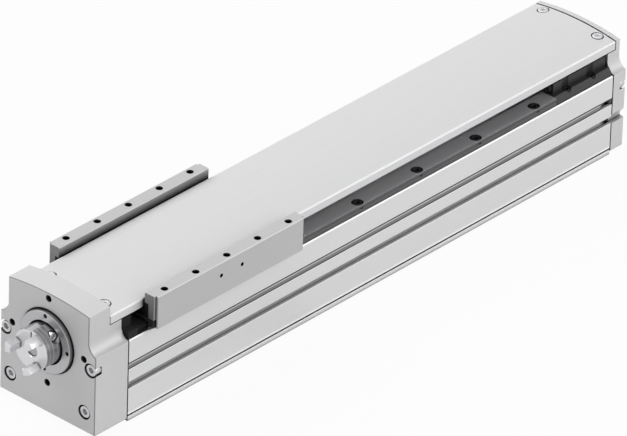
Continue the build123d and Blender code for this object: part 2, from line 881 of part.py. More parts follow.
def coupling_hub():
    face = -hub_face_reach
    body = rod_x(hub_radius, face, hub_back)
    for n in range(claw_count):
        angle = claw_first_angle + 360 / claw_count * n
        section = Pos(0, screw_height) * Rot(0, 0, angle) * claw_section()
        claw = along_x(section, face - claw_length, face + claw_chamfer)
        body += chamfer(claw.faces().sort_by(Axis.X)[0].edges(), claw_chamfer)
    bore = shaft_end_radius + nut_running_gap
    body -= rod_x(bore, face - 1, hub_back + 1)
    bevel = Cone(bore + hub_bore_chamfer, bore, hub_bore_chamfer)
    body -= Pos(x_at(face) + hub_bore_chamfer / 2, 0, screw_height) * Rot(0, 90, 0) * bevel
    flat = box_section(0, hub_radius, screw_height + hub_flat_height, screw_height + hub_radius)
    body -= along_x(flat, face, hub_slit_back - hub_cross_slit)
    slit = Pos(0, screw_height + hub_radius) * Rectangle(hub_slit, 2 * hub_radius)
    body -= along_x(slit, face - 1, hub_slit_back)
    cross = Pos(0, screw_height + hub_radius) * Rectangle(3 * hub_radius, 2 * hub_radius)
    body -= along_x(cross, hub_slit_back - hub_cross_slit, hub_slit_back)
    station = clamp_screw_station
    height = screw_height + clamp_screw_height
    reach = hub_radius + 1
    body -= rod_y(clamp_screw_radius + thread_gap, station, height, -reach, reach)
    body -= rod_y(clamp_pocket_radius, station, height, -reach, clamp_pocket_floor)
    return body


def clamp_screw():
    size = (clamp_screw_radius, clamp_head_radius, clamp_head_length)
    seat = Pos(x_at(clamp_screw_station), clamp_pocket_floor, screw_height + clamp_screw_height)
    return seat * Rot(90, 0, 0) * socket_screw(size, clamp_screw_engagement - clamp_pocket_floor)


def rail_stop():
    """Plastic block that carries on from the +Y rail and ends the slide's travel."""
    end = profile_end - rail_end_gap
    wall = box_section(rail_inner, stop_wall_outer, rail_top - 1, stop_wall_top)
    bevel = outline((
        (rail_outer - stop_bevel_width, rail_top),
        (rail_outer - stop_bevel_width, rail_top + 1),
        (rail_outer + 1, rail_top + 1),
        (rail_outer + 1, rail_top - stop_bevel_height),
        (rail_outer, rail_top - stop_bevel_height),
    ))
    body = along_x(rail_blank() - bevel, stop_station, end)
    body += along_x(wall, stop_station + buffer_length, end)
    seat = rail_top - stop_counterbore_depth
    for station in stop_bolt_stations():
        body -= rod_z(stop_counterbore_radius, station, rail_bolt_offset, seat, stop_wall_top + 1)
        body -= rod_z(m5[0] + thread_gap, station, rail_bolt_offset, 0, rail_top)
    return body


def rail_stop_screws():
    seat = rail_top - stop_counterbore_depth
    screw = socket_screw(m5, stop_bolt_length)
    return group(Pos(x_at(s), rail_bolt_offset, seat) * screw for s in stop_bolt_stations())


def rail_stop_buffer():
    across = (rail_inner + stop_wall_outer) / 2
    height = (rail_top + stop_wall_top) / 2
    return rod_x(buffer_radius, stop_station, stop_station + buffer_length, across, height)


def cap_buffer():
    """Block between the drive cap and the +Y rail that the slide meets at this end."""
    wall = box_section(rail_inner, stop_wall_outer, rail_top - 1, stop_wall_top)
    return along_x(rail_blank() + wall, profile_start, rail_start - rail_end_gap)


def all_nodes():
    """Every node by name."""
    nodes = {
        "base_profile": base_profile(),
        "drive_cap": drive_cap(),
        "end_cap": end_cap(),
        "top_cover": top_cover(),
        "cover_screws": cover_screws(),
        "drive_cap_screws": cap_screws(0, 1, drive_cap_length),
        "end_cap_screws": cap_screws(body_length, -1, end_cap_length),
        "bearing_cover": bearing_cover(),
        "drive_bearing_outer_rings": drive_bearing_rings(drive_bearing_radius, drive_bearing_split),
        "drive_bearing_inner_rings": drive_bearing_rings(inner_ring_radius, drive_journal_radius),
        "far_bearing_outer_ring": far_bearing_outer(),
        "far_bearing_inner_ring": far_bearing_inner(),
        "bearing_lock_nut": lock_nut(),
        "circlip": circlip(),
        "ball_screw": ball_screw(),
        "coupling_hub": coupling_hub(),
        "clamp_screw": clamp_screw(),
        "slide_body": slide_body(),
        "carriage_screws": carriage_screws(),
        "nut_block": nut_block(),
        "ball_nut": ball_nut(),
        "nut_screws": nut_screws(),
        "nut_block_screws": nut_block_screws(),
    }
    front, back = carriage_starts()
    left = {
        "guide_rail": guide_rail(),
        "rail_screws": rail_screws(),
        "slot_strip": slot_strip(),
        "front_carriage": guide_carriage(front),
        "rear_carriage": guide_carriage(back),
        "carriage_scrapers": carriage_scrapers(),
        "rail_stop": rail_stop(),
        "rail_stop_screws": rail_stop_screws(),
        "rail_stop_buffer": rail_stop_buffer(),
        "cap_buffer": cap_buffer(),
    }
    for name, shape in left.items():
        nodes["left_" + name] = shape
        nodes["right_" + name] = mirrored(shape)
    return nodes


os.makedirs("parts", exist_ok=True)
for node, shape in all_nodes().items():
    export_step(shape, f"parts/{node}.step")
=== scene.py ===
# %% [markdown]
# A ball screw linear axis: a long aluminium profile with two end caps, a crowned cover over the
# screw, and a slide that reaches round the cover on both sides. The exact shapes come from the
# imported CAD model, the frame, which stays as it is. This file gives the metal its finishes, puts
# finer pieces where the CAD is plain, and sets the light and the camera.

# %% Load the frame
import bpy
import json
from math import cos, pi, radians, sin
from mathutils import Matrix, Vector


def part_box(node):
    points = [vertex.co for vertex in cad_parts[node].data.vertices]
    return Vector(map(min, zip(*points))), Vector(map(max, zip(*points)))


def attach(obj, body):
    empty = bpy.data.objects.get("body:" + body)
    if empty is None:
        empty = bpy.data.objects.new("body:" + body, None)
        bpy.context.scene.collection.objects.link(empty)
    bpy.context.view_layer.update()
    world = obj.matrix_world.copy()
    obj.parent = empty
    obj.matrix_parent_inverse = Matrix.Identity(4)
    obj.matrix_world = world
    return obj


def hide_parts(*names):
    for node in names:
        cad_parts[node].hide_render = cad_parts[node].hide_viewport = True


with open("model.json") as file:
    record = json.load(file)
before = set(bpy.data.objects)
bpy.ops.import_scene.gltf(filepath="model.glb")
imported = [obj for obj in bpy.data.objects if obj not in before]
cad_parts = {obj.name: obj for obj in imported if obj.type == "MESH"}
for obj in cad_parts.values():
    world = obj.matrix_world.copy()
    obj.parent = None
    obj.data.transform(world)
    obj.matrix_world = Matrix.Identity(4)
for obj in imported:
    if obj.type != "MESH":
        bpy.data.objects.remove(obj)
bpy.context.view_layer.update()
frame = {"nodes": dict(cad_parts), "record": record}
nodes = frame["nodes"]
MM = 0.001
print("CAD nodes:", len(nodes))

# %% [markdown]
# The drive end's face lies at one known X, and most places along the axis are measured from it.
# The frame's own boxes give these places, so nothing is typed in twice.

# %% Places read from the frame
face_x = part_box("drive_cap")[0].x
screw_z = (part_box("ball_screw")[0].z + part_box("ball_screw")[1].z) / 2
face_mm = face_x / MM
near_seam_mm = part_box("base_profile")[0].x / MM
far_seam_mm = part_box("base_profile")[1].x / MM
slide_front_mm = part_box("slide_body")[0].x / MM
print("drive face at", round(face_mm, 2), "mm; screw axis", round(screw_z / MM, 2), "mm up")

# %% [markdown]
# The photograph was taken from far away with a long lens, so parallel edges stay almost parallel.
# The angles, distance and lens below were found by matching the profile's edges and the rows of
# holes. The view direction is built from two angles, and a small roll turns the frame.

# %% Camera
VIEW_TURN = radians(-48.52)
VIEW_RISE = radians(31.44)
VIEW_ROLL = radians(1.95)
VIEW_DISTANCE = 9.736
# The point in the middle of the picture, in the plane through the middle of the axis.
AIM = Vector((face_x + 0.37529, 0.0, 0.05856))
FOCAL_PIXELS = 9965.6
IMAGE_WIDTH = 627
SENSOR_WIDTH_MM = 36.0
FAR_CLIP = 60.0

away = Vector((
    sin(VIEW_TURN) * cos(VIEW_RISE),
    -cos(VIEW_TURN) * cos(VIEW_RISE),
    sin(VIEW_RISE),
))
right = Vector((cos(VIEW_TURN), sin(VIEW_TURN), 0.0))
up = away.cross(right)
rolled_right = cos(VIEW_ROLL) * right + sin(VIEW_ROLL) * up
rolled_up = cos(VIEW_ROLL) * up - sin(VIEW_ROLL) * right
camera_data = bpy.data.cameras.new("camera")
camera_data.sensor_width = SENSOR_WIDTH_MM
camera_data.lens = FOCAL_PIXELS * SENSOR_WIDTH_MM / IMAGE_WIDTH
camera_data.clip_end = FAR_CLIP
camera = bpy.data.objects.new("camera", camera_data)
bpy.context.scene.collection.objects.link(camera)
turn = Matrix((rolled_right, rolled_up, away)).transposed()
camera.matrix_world = Matrix.Translation(AIM + away * VIEW_DISTANCE) @ turn.to_4x4()
bpy.context.scene.camera = camera
bpy.context.scene.view_settings.view_transform = "Standard"
print("lens", round(camera_data.lens), "mm at", VIEW_DISTANCE, "m")

# %% [markdown]
# Every material below is a small tree of nodes. One helper adds a node with its settings and
# links, and one turns a colour written as sRGB hex into the linear numbers that a shader takes.
# The others draw what most materials share: two tones, a bump, and the shader at the end.

# %% Helpers for materials
EDGE_SAMPLES = 6


def linear(hex_colour):
    """An sRGB hex colour as linear red, green, blue and alpha."""
    channels = [int(hex_colour[i:i + 2], 16) / 255 for i in (0, 2, 4)]
    return [c / 12.92 if c <= 0.04045 else ((c + 0.055) / 1.055) ** 2.4 for c in channels] + [1.0]


def add_node(tree, kind, settings=None, links=None):
    """One node: settings are its own values or socket values, links join other sockets to it."""
    node = tree.nodes.new(kind)
    for key, value in (settings or {}).items():
        if isinstance(key, str) and hasattr(node, key):
            setattr(node, key, value)
        else:
            node.inputs[key].default_value = value
    for key, source in (links or {}).items():
        tree.links.new(source, node.inputs[key])
    return node


def new_material(name):
    """An empty material, its tree and its output node."""
    material = bpy.data.materials.new(name)
    material.use_nodes = True
    material.node_tree.nodes.clear()
    output = add_node(material.node_tree, "ShaderNodeOutputMaterial")
    return material, material.node_tree, output


def two_tones(tree, factor, hex_dark, hex_light, ends=(0.0, 1.0)):
    """A colour that goes from dark to light as factor goes from one end to the other."""
    ramp = add_node(tree, "ShaderNodeValToRGB", {}, {"Fac": factor})
    for index, hex_colour in enumerate((hex_dark, hex_light)):
        ramp.color_ramp.elements[index].position = ends[index]
        ramp.color_ramp.elements[index].color = linear(hex_colour)
    return ramp.outputs["Color"]


def bumped(tree, height, strength, depth_mm, edge_mm=None):
    """A normal with a shallow bump, over edges drawn round where edge_mm gives their radius."""
    links = {"Height": height}
    if edge_mm is not None:
        rounded = add_node(
            tree, "ShaderNodeBevel", {"samples": EDGE_SAMPLES, "Radius": edge_mm * MM}
        )
        links["Normal"] = rounded.outputs["Normal"]
    bump = add_node(
        tree, "ShaderNodeBump", {"Strength": strength, "Distance": depth_mm * MM}, links
    )
    return bump.outputs["Normal"]


def add_shader(tree, output, settings, links):
    """The material's one shader, joined to its output."""
    shader = add_node(tree, "ShaderNodeBsdfPrincipled", settings, links)
    tree.links.new(shader.outputs["BSDF"], output.inputs["Surface"])


# %% [markdown]
# Holes, slots, corners and the gaps between pieces get painted shade: their colour is made darker
# than their depth alone makes them. An ambient occlusion node finds them, and it looks at its own
# piece only or at the pieces round it too. The broken edges of a profile get painted highlights,
# paler than its faces, and single faces get painted shade where they are darker or lie in a gap
# that no light reaches. A second mask finds these by their place: it scales the colour in a band,
# up or down, and leaves it alone elsewhere.

# %% Masks for painted shade and highlights
HOLLOW_SAMPLES = 12
# The open share of a point's surroundings at which it is darkest, and at which it stays as it is.
SHUT_IN = 0.36
IN_THE_OPEN = 0.8
DARKEST = 0.04
# The shine of an open face; painted shade in a hollow takes as much of it away as of its colour.
OPEN_SHINE = 0.3
OWN_PIECE_ONLY = True
PIECES_ROUND_IT_TOO = False


def times(tree, first, second):
    """The product of two outputs, either of which may be missing."""
    if first is None or second is None:
        return first or second
    product = add_node(tree, "ShaderNodeMath", {"operation": "MULTIPLY"}, {0: first, 1: second})
    return product.outputs["Value"]


def hollow_shade(tree, reach_mm, own_piece_only):
    """Painted shade: falls from 1 in the open to nearly 0 deep in a hollow."""
    hollow = add_node(
        tree, "ShaderNodeAmbientOcclusion",
        {"only_local": own_piece_only, "samples": HOLLOW_SAMPLES, "Distance": reach_mm * MM},
    )
    dark = add_node(
        tree, "ShaderNodeMapRange",
        {"From Min": SHUT_IN, "From Max": IN_THE_OPEN, "To Min": DARKEST, "To Max": 1.0},
        {"Value": hollow.outputs["AO"]},
    )
    return dark.outputs["Result"]


def with_painted_light(tree, colour, shade):
    """A shader's colour and shine, both scaled by shade, which carries the painted light and
    shade.
    """
    darker = add_node(
        tree, "ShaderNodeVectorMath", {"operation": "SCALE"}, {0: colour, "Scale": shade}
    )
    shine = add_node(
        tree, "ShaderNodeMath", {"operation": "MULTIPLY", 1: OPEN_SHINE}, {0: shade}
    )
    return {"Base Color": darker.outputs["Vector"], "Specular IOR Level": shine.outputs["Value"]}


def within(tree, value, low_mm, high_mm):
    """1 where value lies between low_mm and high_mm, and 0 elsewhere."""
    level = add_node(
        tree, "ShaderNodeMath",
        {"operation": "COMPARE", 1: (low_mm + high_mm) / 2 * MM, 2: (high_mm - low_mm) / 2 * MM},
        {0: value},
    )
    return level.outputs["Value"]


def lifted(tree, inside, lift):
    """1 + lift where inside is 1, and 1 where it is 0."""
    scaled = add_node(
        tree, "ShaderNodeMath", {"operation": "MULTIPLY_ADD", 1: lift, 2: 1.0}, {0: inside}
    )
    return scaled.outputs["Value"]


def side_band(tree, place, axis, low_mm, high_mm, inner_mm, outer_mm, lift):
    """1 everywhere but in a band on both long sides, where it is 1 + lift.

    The band lies between low_mm and high_mm along axis, and between inner_mm and outer_mm from
    the middle of the part.
    """
    parts = add_node(tree, "ShaderNodeSeparateXYZ", {}, {"Vector": place})
    across = add_node(tree, "ShaderNodeMath", {"operation": "ABSOLUTE"}, {0: parts.outputs["Y"]})
    along = within(tree, parts.outputs[axis], low_mm, high_mm)
    aside = within(tree, across.outputs["Value"], inner_mm, outer_mm)
    return lifted(tree, times(tree, along, aside), lift)


def ring_band(tree, place, radius, low_mm, high_mm, least_radius_mm, lift):
    """1 everywhere but between low_mm and high_mm along X, past a radius, where it is 1 + lift."""
    parts = add_node(tree, "ShaderNodeSeparateXYZ", {}, {"Vector": place})
    along = within(tree, parts.outputs["X"], low_mm, high_mm)
    outside = add_node(
        tree, "ShaderNodeMath",
        {"operation": "GREATER_THAN", 1: least_radius_mm * MM},
        {0: radius},
    )
    return lifted(tree, times(tree, outside.outputs["Value"], along), lift)


# %% [markdown]
# Bare and anodised metal share one recipe. A noise in real millimetres shifts the colour and the
# roughness a little, and drives a shallow bump. Stretching the noise along one axis draws the
# direction in which the metal was worked: extrusion lines run along X, and blasting has no
# direction. Grain finer than a pixel is drawn coarser than it is, so that it still shows. A faint
# rounding of all edges catches the light. The same recipe, with no metal in it, makes the strip.

# %% Recipe for worked metal
GRAIN_DETAIL = 4.0
GRAIN_ROUGHNESS = 0.6
GRAIN_BUMP = 0.5
# Where in the noise the dark tone ends and the light one begins.
GRAIN_ENDS = (0.3, 0.7)
# How far the roughness moves to either side of its middle.
GLOSS_SPREAD = 0.05
EDGE_MM = 0.5


def worked_metal(
    name, hex_dark, hex_light, metallic, roughness, grain_mm, depth_mm,
    bands=(), hollows=(), edge_mm=EDGE_MM,
):
    """grain_mm is the grain's size along X, Y and Z; depth_mm is the bump's height.

    bands are (axis, low, high, inner, outer, lift), as side_band takes them, and paint light or
    shade there; hollows are (reach, own piece only), and paint shade there. edge_mm is the radius
    of the broken edges.
    """
    material, tree, output = new_material(name)
    place = add_node(tree, "ShaderNodeTexCoord")
    scaled = add_node(
        tree, "ShaderNodeMapping",
        {"Scale": [1 / (size * MM) for size in grain_mm]},
        {"Vector": place.outputs["Object"]},
    )
    grain = add_node(
        tree, "ShaderNodeTexNoise",
        {"Scale": 1.0, "Detail": GRAIN_DETAIL, "Roughness": GRAIN_ROUGHNESS},
        {"Vector": scaled.outputs["Vector"]},
    )
    tone = two_tones(tree, grain.outputs["Fac"], hex_dark, hex_light, GRAIN_ENDS)
    gloss = add_node(
        tree, "ShaderNodeMapRange",
        {"To Min": roughness - GLOSS_SPREAD, "To Max": roughness + GLOSS_SPREAD},
        {"Value": grain.outputs["Fac"]},
    )
    normal = bumped(tree, grain.outputs["Fac"], GRAIN_BUMP, depth_mm, edge_mm)
    shade = None
    for reach_mm, own_piece_only in hollows:
        shade = times(tree, shade, hollow_shade(tree, reach_mm, own_piece_only))
    for band in bands:
        shade = times(tree, shade, side_band(tree, place.outputs["Object"], *band))
    links = {"Base Color": tone, "Roughness": gloss.outputs["Result"], "Normal": normal}
    if shade is not None:
        links.update(with_painted_light(tree, tone, shade))
    add_shader(tree, output, {"Metallic": metallic}, links)
    return material


# %% [markdown]
# The finishes of the axis follow, each with the bands that the photograph shows: painted
# highlights on edges and lips, and painted shade at the seams and on the faces that lie in a gap.
# All lengths are in millimetres.

# %% Metals and the strip
# Widths of the painted shade at the caps' seams and of the painted dark line round the drive face.
SEAM_MM = 1.5
LIP_MM = 0.9

# Natural anodised aluminium: a thin clear oxide over pale metal, so it is matt and almost white.
anodised_profile = worked_metal(
    "anodised_extrusion", "ECECED", "EEEEEF",
    metallic=0.3, roughness=0.45, grain_mm=(60, 1.2, 1.2), depth_mm=0.004,
    bands=(
        # Painted highlights on the shoulder's edge and the lips under the slots; painted shade in
        # the lower slot.
        ("Z", 89.9, 92, 61.4, 63, 0.45),  # the shoulder's edge
        ("Z", 35.7, 36.5, 61.6, 63, 0.25),  # the lip under the lower slot
        ("Z", 57.4, 58.2, 61.6, 63, 0.25),  # the lip under the upper slot
        ("Z", 36.6, 45, 40, 61.9, -0.75),  # the inside of the lower slot
        # The foot groove, the line above it and the foot under the groove are drawn paler.
        ("Z", 5, 9.5, 55, 63, 0.4),  # the foot groove and the line above it
        ("Z", -1, 5.9, 55, 63, 0.12),  # the foot under the groove
    ),
    hollows=((9.0, PIECES_ROUND_IT_TOO),),
)
anodised_cover = worked_metal(
    "anodised_cover_sheet", "F0F0F1", "F3F3F4",
    metallic=0.08, roughness=0.62, grain_mm=(60, 1.4, 1.4), depth_mm=0.004,
    # A painted highlight along the cover's round edges.
    bands=(("Z", 120.8, 123, 52.4, 54, 0.5),),  # the round edges
    hollows=((9.0, PIECES_ROUND_IT_TOO),),
)
anodised_cap = worked_metal(
    "anodised_blasted_cap", "DBDBDC", "DFDFE0",
    metallic=0.3, roughness=0.5, grain_mm=(0.9, 0.9, 0.9), depth_mm=0.01,
    bands=(
        # Painted shade in the seams beside the profile, and a painted dark reflection round the
        # drive face's rim.
        ("X", near_seam_mm - SEAM_MM, near_seam_mm, 50, 63, -0.96),  # the near seam
        ("X", far_seam_mm, far_seam_mm + SEAM_MM, 50, 63, -0.96),  # the far seam
        ("X", face_mm + 0.05, face_mm + LIP_MM, 0, 63, -0.55),  # the rim of the drive face
    ),
    hollows=((10.0, PIECES_ROUND_IT_TOO),),
)
anodised_slide = worked_metal(
    "anodised_slide", "CACACB", "CECECF",
    metallic=0.3, roughness=0.48, grain_mm=(20, 1.0, 1.0), depth_mm=0.006,
    bands=(
        # A painted highlight on the arms' outer edges; painted shade between the arms and cover
        # and on the front.
        ("Z", 129.5, 131, 70.4, 72, 0.15),  # the arms' outer edges
        ("Z", 60, 119.5, 0, 61.5, -0.9),  # the faces between the arms and the cover
        ("X", slide_front_mm - 0.1, slide_front_mm + 0.3, 0, 72, -0.5),  # the front face
    ),
    # Painted shade in the slide's holes and in the gaps round it.
    hollows=((7.0, OWN_PIECE_ONLY), (28.0, PIECES_ROUND_IT_TOO)),
)
# Zinc plating on a screw head: brighter and greyer than the oxide round it.
zinc_screw = worked_metal(
    "zinc_plated_screw", "C6C6C8", "D4D4D6",
    metallic=0.8, roughness=0.3, grain_mm=(0.6, 0.6, 0.6), depth_mm=0.01,
)
# Ground steel on the screw and its nut. The rails are ground on top, and their outer sides are
# drawn darker.
ground_steel = worked_metal(
    "ground_steel", "A2A2A4", "B0B0B2",
    metallic=0.9, roughness=0.3, grain_mm=(0.5, 0.5, 0.5), depth_mm=0.006,
)
rail_steel = worked_metal(
    "ground_rail_steel", "B8B8BA", "C0C0C2",
    metallic=0.4, roughness=0.4, grain_mm=(30, 0.6, 0.6), depth_mm=0.006,
    bands=(
        ("Z", 80, 98.95, 59.6, 64, -0.75),  # the outer side and its top edge, drawn darker
        # Painted shade on the rail between the drive cap and the slide.
        ("X", near_seam_mm, slide_front_mm + 1, 0, 64, -0.88),  # the length before the slide
    ),
    hollows=((6.0, PIECES_ROUND_IT_TOO),), edge_mm=0.1,
)
# The carriages and their scrapers are drawn nearly black: painted shade for the dark channel under
# the slide.
carriage_steel = worked_metal(
    "carriage_steel", "2C2C2F", "38383B",
    metallic=0.2, roughness=0.5, grain_mm=(10, 0.6, 0.6), depth_mm=0.006,
    hollows=((6.0, PIECES_ROUND_IT_TOO),),
)
# Black oxide on screws and rings: a thin oiled skin, nearly black with a soft shine.
black_oxide = worked_metal(
    "black_oxide_steel", "1E1E20", "2A2A2C",
    metallic=0.5, roughness=0.4, grain_mm=(0.5, 0.5, 0.5), depth_mm=0.008,
)
# The strip in the upper slot is a grey extruded plastic; its rib carries a painted highlight.
strip_plastic = worked_metal(
    "extruded_grey_plastic", "8A8A8B", "949495",
    metallic=0.0, roughness=0.5, grain_mm=(30, 0.9, 0.9), depth_mm=0.01,
    bands=(("Z", 62.5, 80, 50, 64, 1.2),),  # the rib
    hollows=((3.0, PIECES_ROUND_IT_TOO),), edge_mm=0.1,
)
print("finishes made:", len(bpy.data.materials))

# %% [markdown]
# Turned faces show rings round the axis of the lathe. The distance from that axis, in the plane
# across it, drives a wave, so the rings follow the part and not the world.

# %% Turned aluminium
RING_PITCH_MM = 1.1
RING_DEPTH_MM = 0.02
RING_BUMP = 0.3
TURNED_HOLLOW_MM = 4.0
CENTRING_RADIUS_MM = 32.6
HUB_RADIUS_MM = 20.9


def turned_metal(name, hex_dark, hex_light, metallic, roughness, bands):
    """A metal with rings round the screw's axis.

    bands are (low, high, least radius, lift), as ring_band takes them, and paint light or shade
    there.
    """
    material, tree, output = new_material(name)
    place = add_node(tree, "ShaderNodeTexCoord")
    centred = add_node(
        tree, "ShaderNodeVectorMath",
        {"operation": "SUBTRACT", 1: (0.0, 0.0, screw_z)},
        {0: place.outputs["Object"]},
    )
    flat = add_node(
        tree, "ShaderNodeVectorMath",
        {"operation": "MULTIPLY", 1: (0.0, 1.0, 1.0)},
        {0: centred.outputs["Vector"]},
    )
    radius = add_node(
        tree, "ShaderNodeVectorMath", {"operation": "LENGTH"}, {0: flat.outputs["Vector"]}
    )
    turned = add_node(
        tree, "ShaderNodeMath",
        {"operation": "MULTIPLY", 1: 2 * pi / (RING_PITCH_MM * MM)},
        {0: radius.outputs["Value"]},
    )
    wave = add_node(tree, "ShaderNodeMath", {"operation": "SINE"}, {0: turned.outputs["Value"]})
    half_wave = add_node(
        tree, "ShaderNodeMapRange",
        {"From Min": -1.0, "From Max": 1.0},
        {"Value": wave.outputs["Value"]},
    )
    tone = two_tones(tree, half_wave.outputs["Result"], hex_dark, hex_light)
    normal = bumped(tree, half_wave.outputs["Result"], RING_BUMP, RING_DEPTH_MM, EDGE_MM)
    # Painted shade in hollows and between pieces, then the bands' painted light and shade.
    shade = hollow_shade(tree, TURNED_HOLLOW_MM, PIECES_ROUND_IT_TOO)
    for band in bands:
        mask = ring_band(tree, centred.outputs["Vector"], radius.outputs["Value"], *band)
        shade = times(tree, shade, mask)
    add_shader(
        tree, output,
        {"Metallic": metallic, "Roughness": roughness},
        {"Normal": normal, **with_painted_light(tree, tone, shade)},
    )
    return material


# The centring ring's front is turned bright, and its side carries painted shade.
turned_ring = turned_metal(
    "turned_aluminium_ring", "B4B4B6", "C0C0C2",
    metallic=0.8, roughness=0.3,
    bands=((face_mm - 4.2, face_mm + 20, CENTRING_RADIUS_MM, -0.55),),
)
# The hub's front and claws are turned bright; its side carries painted shade, with three painted
# highlight lines.
turned_hub = turned_metal(
    "turned_aluminium_hub", "D6D6D8", "E2E2E4",
    metallic=0.85, roughness=0.3,
    bands=(
        (face_mm - 23.0, face_mm + 20, HUB_RADIUS_MM, -0.5),
        (face_mm - 19.5, face_mm - 18.6, HUB_RADIUS_MM, 0.6),
        (face_mm - 14.6, face_mm - 13.4, HUB_RADIUS_MM, 0.6),
        (face_mm - 9.0, face_mm - 8.2, HUB_RADIUS_MM, 0.6),
    ),
)
print("turned rings every", RING_PITCH_MM, "mm")

# %% [markdown]
# Moulded plastic has a fine spark-eroded grain that breaks up its shine. Rubber is the same recipe
# with hardly any shine.

# %% Plastics and rubber
MOULD_DETAIL = 3.0
MOULD_BUMP = 0.6
PLASTIC_IOR = 1.5


def moulded(name, hex_dark, hex_light, roughness, grain_mm, depth_mm):
    """grain_mm is the size of the mould's grain, and depth_mm is its height."""
    material, tree, output = new_material(name)
    place = add_node(tree, "ShaderNodeTexCoord")
    grain = add_node(
        tree, "ShaderNodeTexNoise",
        {"Scale": 1 / (grain_mm * MM), "Detail": MOULD_DETAIL},
        {"Vector": place.outputs["Object"]},
    )
    tone = two_tones(tree, grain.outputs["Fac"], hex_dark, hex_light)
    normal = bumped(tree, grain.outputs["Fac"], MOULD_BUMP, depth_mm)
    add_shader(
        tree, output,
        {"Roughness": roughness, "IOR": PLASTIC_IOR},
        {"Base Color": tone, "Normal": normal},
    )
    return material


black_plastic = moulded(
    "moulded_black_plastic", "1B1B1C", "262627",
    roughness=0.5, grain_mm=0.8, depth_mm=0.03,
)
buffer_rubber = moulded(
    "buffer_rubber", "0E0E0E", "161616",
    roughness=0.85, grain_mm=1.0, depth_mm=0.04,
)

# %% [markdown]
# Each CAD node has one material slot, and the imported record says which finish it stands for. One
# table gives every finish its material, and one loop puts it on the nodes.

# %% Dress the CAD nodes
finishes = {
    "profile_aluminium": anodised_profile,
    "cap_aluminium": anodised_cap,
    "cover_aluminium": anodised_cover,
    "slide_aluminium": anodised_slide,
    "turned_aluminium": turned_ring,
    "hub_aluminium": turned_hub,
    "bright_screws": zinc_screw,
    "black_steel": black_oxide,
    "ground_steel": ground_steel,
    "bearing_steel": ground_steel,
    "rail_steel": rail_steel,
    "carriage_steel": carriage_steel,
    "black_plastic": black_plastic,
    "strip_plastic": strip_plastic,
    "buffer_rubber": buffer_rubber,
}
slot_of = {part["node"]: part["material_slot"] for part in frame["record"]["subparts"]}
bodies = frame["record"]["behaviour"]["bodies"]
body_of = {name: body for body, group in bodies.items() for name in group}
for name, node in nodes.items():
    node.data.materials.clear()
    node.data.materials.append(finishes[slot_of[name]])
print("dressed", len(nodes), "nodes in", len(finishes), "finishes")

# %% [markdown]
# The real fasteners are socket screws: a round head with a hexagonal recess and a small rounding
# at its rim. The CAD has plain heads in the right places, so each head's place is read from its
# box, one screw is modelled, and copies of it take the plain ones' places. The round head is
# extruded down into its shank, the recess is cut by a six-sided prism, and a bevel rounds the rim.

# %% Helpers for pieces
SCREW_SIDES = 40
SCREW_ROUNDING = 0.35 * MM
# Edges sharper than SHARP_ANGLE are rounded, and those under SMOOTH_ANGLE are shaded smooth.
SHARP_ANGLE = radians(50)
SMOOTH_ANGLE = radians(35)
WELD_DISTANCE = 0.00001
# The height of a unit normal under which a face counts as looking down.
LOOKS_DOWN = -0.9
# How a screw that is modelled with its head up turns to face each way.
UP_TO = {
    "+Z": Matrix.Identity(4),
    "-X": Matrix.Rotation(-pi / 2, 4, "Y"),
    "+X": Matrix.Rotation(pi / 2, 4, "Y"),
    "-Y": Matrix.Rotation(pi / 2, 4, "X"),
}


def only(thing):
    """Makes one object the selected and active one."""
    bpy.ops.object.select_all(action="DESELECT")
    thing.select_set(True)
    bpy.context.view_layer.objects.active = thing


def apply_modifier(thing, kind, settings):
    """Adds one modifier with these settings and applies it."""
    only(thing)
    modifier = thing.modifiers.new(kind.lower(), kind)
    for key, value in settings.items():
        setattr(modifier, key, value)
    bpy.ops.object.modifier_apply(modifier=modifier.name)


def round_edges(thing, width):
    """Bevels an object's sharp edges."""
    apply_modifier(
        thing, "BEVEL",
        {"width": width, "segments": 2, "limit_method": "ANGLE", "angle_limit": SHARP_ANGLE},
    )


def weld(thing, distance):
    """Joins an object's loose triangles and leaves it selected in edit mode."""
    only(thing)
    bpy.ops.object.mode_set(mode="EDIT")
    bpy.ops.mesh.select_all(action="SELECT")
    bpy.ops.mesh.remove_doubles(threshold=distance)


def solid_boxes(node):
    """The box of each separate solid in a CAD node."""
    copy = bpy.data.objects.new("measured", nodes[node].data.copy())
    bpy.context.scene.collection.objects.link(copy)
    weld(copy, WELD_DISTANCE)
    bpy.ops.object.mode_set(mode="OBJECT")
    bpy.ops.mesh.separate(type="LOOSE")
    solids = list(bpy.context.selected_objects)
    boxes = []
    for solid in solids:
        points = [v.co for v in solid.data.vertices]
        low = Vector([min(p[i] for p in points) for i in range(3)])
        high = Vector([max(p[i] for p in points) for i in range(3)])
        boxes.append((low, high))
    for solid in solids:
        mesh = solid.data
        bpy.data.objects.remove(solid)
        bpy.data.meshes.remove(mesh)
    return boxes


def pick_underside(mesh):
    """Selects the faces that look down."""
    for edge in mesh.edges:
        edge.select = False
    for vertex in mesh.vertices:
        vertex.select = False
    for face in mesh.polygons:
        face.select = face.normal.z < LOOKS_DOWN


